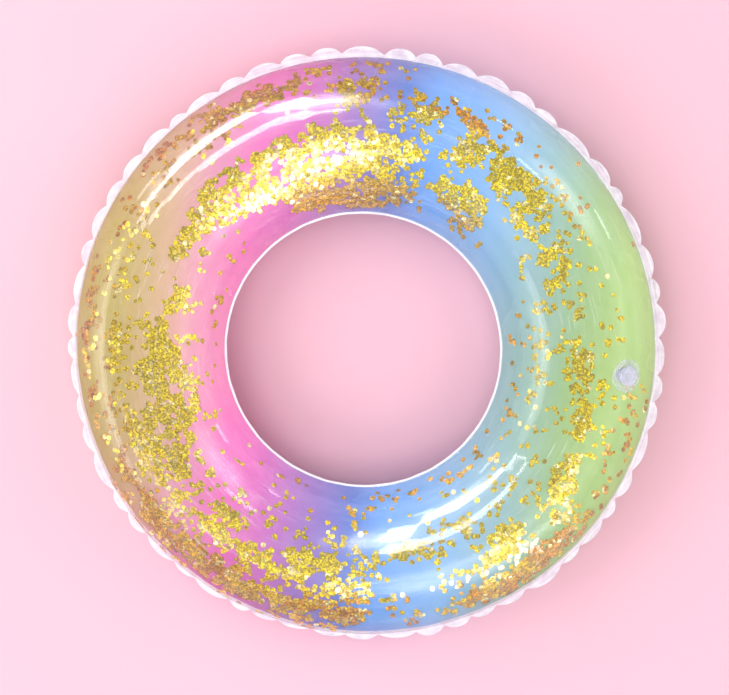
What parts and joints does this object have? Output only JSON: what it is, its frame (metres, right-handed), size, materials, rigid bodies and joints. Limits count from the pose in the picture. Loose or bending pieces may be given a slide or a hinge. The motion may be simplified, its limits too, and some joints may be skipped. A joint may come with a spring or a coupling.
{
  "type": "inflatable swim ring",
  "caption": "Inflatable swim ring: clear front film over a rainbow-printed back film, loose gold glitter inside, a ruffled outer weld and a push-in inflation valve with a strapped cap.",
  "frame": {"origin": "under the middle of the hole, level with the lowest circle of the printed back film that the ring lies on", "axes": "+Z is the ring's axis, out through the clear front film; +X points from the hole towards the side that holds the valve, which sits 3.2 degrees clockwise of +X seen from above"},
  "size_m": [0.6664, 0.6664, 0.137],
  "materials": {
    "clear_film": "gloss",
    "printed_film": "gloss",
    "welded_film": "gloss",
    "valve_vinyl": "satin",
    "gold_foil": "polished"
  },
  "bodies": {
    "ring": {"front_film": "clear_film", "back_film": "printed_film", "outer_weld": "welded_film", "inner_weld": "welded_film", "valve_flange": "valve_vinyl", "valve_web": "valve_vinyl", "glitter_drift_front_01": "gold_foil", "glitter_drift_front_02": "gold_foil", "glitter_drift_back_01": "gold_foil", "glitter_drift_back_02": "gold_foil", "glitter_drift_back_03": "gold_foil", "glitter_drift_back_04": "gold_foil", "glitter_drift_back_05": "gold_foil", "glitter_drift_back_06": "gold_foil", "glitter_drift_back_07": "gold_foil", "glitter_drift_back_08": "gold_foil", "glitter_drift_back_09": "gold_foil", "glitter_drift_back_10": "gold_foil", "glitter_drift_back_11": "gold_foil", "glitter_drift_back_12": "gold_foil", "glitter_drift_back_13": "gold_foil", "glitter_drift_back_14": "gold_foil", "glitter_drift_back_15": "gold_foil", "glitter_drift_back_16": "gold_foil", "glitter_drift_back_17": "gold_foil", "glitter_drift_back_18": "gold_foil", "glitter_drift_back_19": "gold_foil", "glitter_drift_back_20": "gold_foil", "glitter_drift_back_21": "gold_foil", "glitter_flake_01": "gold_foil", "glitter_flake_02": "gold_foil", "glitter_flake_03": "gold_foil", "glitter_flake_04": "gold_foil", "glitter_flake_05": "gold_foil", "glitter_flake_06": "gold_foil", "glitter_flake_07": "gold_foil", "glitter_flake_08": "gold_foil", "glitter_flake_09": "gold_foil", "glitter_flake_10": "gold_foil", "glitter_flake_11": "gold_foil", "glitter_flake_12": "gold_foil", "glitter_flake_13": "gold_foil", "glitter_flake_14": "gold_foil", "glitter_flake_15": "gold_foil", "glitter_flake_16": "gold_foil", "glitter_flake_17": "gold_foil", "glitter_flake_18": "gold_foil", "glitter_flake_19": "gold_foil", "glitter_flake_20": "gold_foil"},
    "valve_stem": {"valve_stem": "valve_vinyl"},
    "valve_cap": {"valve_cap": "valve_vinyl", "cap_strap": "valve_vinyl"},
    "check_flap": {"check_flap": "valve_vinyl"}
  },
  "joints": [
    {"name": "stem_pull", "type": "slide", "parent": "ring", "child": "valve_stem", "axis": [0.5077, -0.0284, 0.8611], "range_m": [0, 0.0152]},
    {"name": "cap_open", "type": "hinge", "parent": "valve_stem", "child": "valve_cap", "pos_m": [0.29026, -0.00491, 0.12799], "axis": [-0.8597, 0.0481, 0.5085], "range_deg": [0, 140]},
    {"name": "flap_open", "type": "hinge", "parent": "valve_stem", "child": "check_flap", "pos_m": [0.28203, -0.02228, 0.11572], "axis": [-0.8597, 0.0481, 0.5085], "range_deg": [0, 60], "stiffness_Nm_per_rad": 0.0002}
  ]
}
